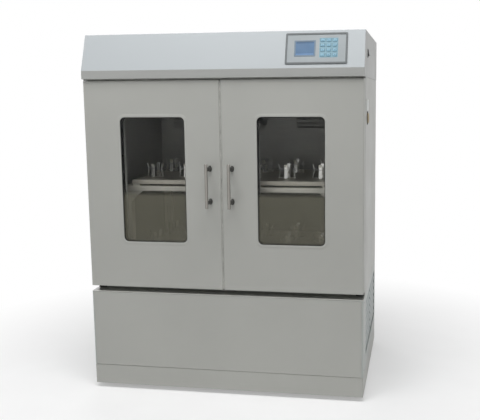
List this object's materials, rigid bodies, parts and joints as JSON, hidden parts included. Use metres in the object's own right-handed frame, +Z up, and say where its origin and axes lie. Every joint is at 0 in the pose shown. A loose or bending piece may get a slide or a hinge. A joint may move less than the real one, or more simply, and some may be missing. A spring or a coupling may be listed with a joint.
{
  "type": "upright shaker incubator",
  "caption": "Floor standing incubated shaker: glazed doors, orbiting flask trays on a crank drive, sloped control head and refrigerated base.",
  "frame": {"origin": "on the floor, under the middle of the cabinet's width and of the depth from handles to rear cover", "axes": "+Z up, the doors face -Y, and +X is to the right as one faces the doors"},
  "size_m": [1.0892, 0.78, 1.4],
  "materials": {
    "body_paint": "satin powder coat, warm light grey",
    "head_paint": "satin powder coat, pale cool grey",
    "vent_paint": "satin powder coat on pressed louvres",
    "stainless": "brushed stainless sheet",
    "handle_steel": "satin bar on dark oval feet",
    "hinge_steel": "zinc plated",
    "window_glass": "clear double glazing",
    "panel_plastic": "fine matt membrane in a grey frame",
    "liner_plastic": "vacuum formed, matt",
    "key_face": "pale blue, slightly domed",
    "display": "blue liquid crystal window",
    "switch_plastic": "black, lightly grained",
    "dark_plastic": "black moulded",
    "black_rubber": "matt black",
    "grey_rubber": "soft grey magnetic seal",
    "mineral_wool": "quilted wool batt",
    "cast_parts": "machined casting, oiled",
    "motor_paint": "enamelled",
    "compressor_paint": "black enamel",
    "bare_aluminium": "turned",
    "condenser_fins": "thin fins"
  },
  "bodies": {
    "cabinet": {"base_frame": "body_paint", "base_front_panel": "body_paint", "base_right_panel": "vent_paint", "base_left_panel": "vent_paint", "rear_cover": "body_paint", "foot_front_left": "black_rubber", "foot_front_right": "black_rubber", "foot_rear_left": "black_rubber", "foot_rear_right": "black_rubber", "cabinet_casing": "body_paint", "insulation_jacket": "mineral_wool", "chamber_liner": "stainless", "control_head": "head_paint", "control_panel": "panel_plastic", "display_window": "display", "switch_housing": "switch_plastic", "left_upper_hinge": "hinge_steel", "left_lower_hinge": "hinge_steel", "right_upper_hinge": "hinge_steel", "right_lower_hinge": "hinge_steel", "drive_chassis": "cast_parts", "drive_motor": "motor_paint", "drive_belt": "black_rubber", "fan_duct": "stainless", "compressor": "compressor_paint", "condenser": "condenser_fins"},
    "left_door": {"left_door_shell": "body_paint", "left_door_liner": "liner_plastic", "left_door_glass": "window_glass", "left_window_seal": "black_rubber", "left_door_gasket": "grey_rubber", "left_door_handle": "handle_steel"},
    "right_door": {"right_door_shell": "body_paint", "right_door_liner": "liner_plastic", "right_door_glass": "window_glass", "right_window_seal": "black_rubber", "right_door_gasket": "grey_rubber", "right_door_handle": "handle_steel"},
    "drive_crank": {"drive_crank": "cast_parts"},
    "platform": {"shaker_frame": "stainless", "lower_tray": "stainless", "upper_tray": "stainless"},
    "idler_crank_left": {"idler_crank_left": "cast_parts"},
    "idler_crank_right": {"idler_crank_right": "cast_parts"},
    "motor_pulley": {"motor_pulley": "bare_aluminium"},
    "circulation_fan": {"circulation_fan": "bare_aluminium"},
    "condenser_fan": {"condenser_fan": "dark_plastic"},
    "switch_rocker": {"switch_rocker": "switch_plastic"},
    "key_row1_column1": {"key_row1_column1": "key_face"},
    "key_row1_column2": {"key_row1_column2": "key_face"},
    "key_row1_column3": {"key_row1_column3": "key_face"},
    "key_row2_column1": {"key_row2_column1": "key_face"},
    "key_row2_column2": {"key_row2_column2": "key_face"},
    "key_row2_column3": {"key_row2_column3": "key_face"},
    "key_row3_column1": {"key_row3_column1": "key_face"},
    "key_row3_column2": {"key_row3_column2": "key_face"},
    "key_row3_column3": {"key_row3_column3": "key_face"},
    "key_row4_column1": {"key_row4_column1": "key_face"},
    "key_row4_column2": {"key_row4_column2": "key_face"},
    "key_row4_column3": {"key_row4_column3": "key_face"}
  },
  "joints": [
    {"name": "left_door_hinge", "type": "hinge", "parent": "cabinet", "child": "left_door", "pos_m": [-0.522, -0.293, 0], "axis": [0, 0, -1], "range_deg": [0, 110]},
    {"name": "right_door_hinge", "type": "hinge", "parent": "cabinet", "child": "right_door", "pos_m": [0.522, -0.293, 0], "axis": [0, 0, 1], "range_deg": [0, 110]},
    {"name": "drive_crank_spin", "type": "hinge", "parent": "cabinet", "child": "drive_crank", "pos_m": [0, 0.127, 0], "axis": [0, 0, 1], "continuous": true},
    {"name": "platform_orbit", "type": "hinge", "parent": "drive_crank", "child": "platform", "pos_m": [0, 0.14, 0], "axis": [0, 0, 1], "continuous": true},
    {"name": "idler_crank_left_spin", "type": "hinge", "parent": "cabinet", "child": "idler_crank_left", "pos_m": [-0.3, -0.113, 0], "axis": [0, 0, 1], "continuous": true},
    {"name": "idler_crank_right_spin", "type": "hinge", "parent": "cabinet", "child": "idler_crank_right", "pos_m": [0.3, -0.113, 0], "axis": [0, 0, 1], "continuous": true},
    {"name": "motor_pulley_spin", "type": "hinge", "parent": "cabinet", "child": "motor_pulley", "pos_m": [-0.24, 0.127, 0], "axis": [0, 0, 1], "continuous": true},
    {"name": "circulation_fan_spin", "type": "hinge", "parent": "cabinet", "child": "circulation_fan", "pos_m": [0, 0.291, 1.071], "axis": [0, 1, 0], "continuous": true},
    {"name": "condenser_fan_spin", "type": "hinge", "parent": "cabinet", "child": "condenser_fan", "pos_m": [0.37, -0.08, 0.1253], "axis": [1, 0, 0], "continuous": true},
    {"name": "power_rocker", "type": "hinge", "parent": "cabinet", "child": "switch_rocker", "pos_m": [0.5401, -0.181, 1.32], "axis": [0, 1, 0], "range_deg": [0, 20]},
    {"name": "key_row1_column1_press", "type": "slide", "parent": "cabinet", "child": "key_row1_column1", "axis": [0, 0.9407, -0.3393], "range_m": [0, 0.0008], "stiffness_N_per_m": 300},
    {"name": "key_row1_column2_press", "type": "slide", "parent": "cabinet", "child": "key_row1_column2", "axis": [0, 0.9407, -0.3393], "range_m": [0, 0.0008], "stiffness_N_per_m": 300},
    {"name": "key_row1_column3_press", "type": "slide", "parent": "cabinet", "child": "key_row1_column3", "axis": [0, 0.9407, -0.3393], "range_m": [0, 0.0008], "stiffness_N_per_m": 300},
    {"name": "key_row2_column1_press", "type": "slide", "parent": "cabinet", "child": "key_row2_column1", "axis": [0, 0.9407, -0.3393], "range_m": [0, 0.0008], "stiffness_N_per_m": 300},
    {"name": "key_row2_column2_press", "type": "slide", "parent": "cabinet", "child": "key_row2_column2", "axis": [0, 0.9407, -0.3393], "range_m": [0, 0.0008], "stiffness_N_per_m": 300},
    {"name": "key_row2_column3_press", "type": "slide", "parent": "cabinet", "child": "key_row2_column3", "axis": [0, 0.9407, -0.3393], "range_m": [0, 0.0008], "stiffness_N_per_m": 300},
    {"name": "key_row3_column1_press", "type": "slide", "parent": "cabinet", "child": "key_row3_column1", "axis": [0, 0.9407, -0.3393], "range_m": [0, 0.0008], "stiffness_N_per_m": 300},
    {"name": "key_row3_column2_press", "type": "slide", "parent": "cabinet", "child": "key_row3_column2", "axis": [0, 0.9407, -0.3393], "range_m": [0, 0.0008], "stiffness_N_per_m": 300},
    {"name": "key_row3_column3_press", "type": "slide", "parent": "cabinet", "child": "key_row3_column3", "axis": [0, 0.9407, -0.3393], "range_m": [0, 0.0008], "stiffness_N_per_m": 300},
    {"name": "key_row4_column1_press", "type": "slide", "parent": "cabinet", "child": "key_row4_column1", "axis": [0, 0.9407, -0.3393], "range_m": [0, 0.0008], "stiffness_N_per_m": 300},
    {"name": "key_row4_column2_press", "type": "slide", "parent": "cabinet", "child": "key_row4_column2", "axis": [0, 0.9407, -0.3393], "range_m": [0, 0.0008], "stiffness_N_per_m": 300},
    {"name": "key_row4_column3_press", "type": "slide", "parent": "cabinet", "child": "key_row4_column3", "axis": [0, 0.9407, -0.3393], "range_m": [0, 0.0008], "stiffness_N_per_m": 300}
  ],
  "couplings": [
    {"joint": "platform_orbit", "follows": "drive_crank_spin", "ratio": -1},
    {"joint": "idler_crank_left_spin", "follows": "drive_crank_spin", "ratio": 1},
    {"joint": "idler_crank_right_spin", "follows": "drive_crank_spin", "ratio": 1},
    {"joint": "motor_pulley_spin", "follows": "drive_crank_spin", "ratio": 2.931}
  ]
}
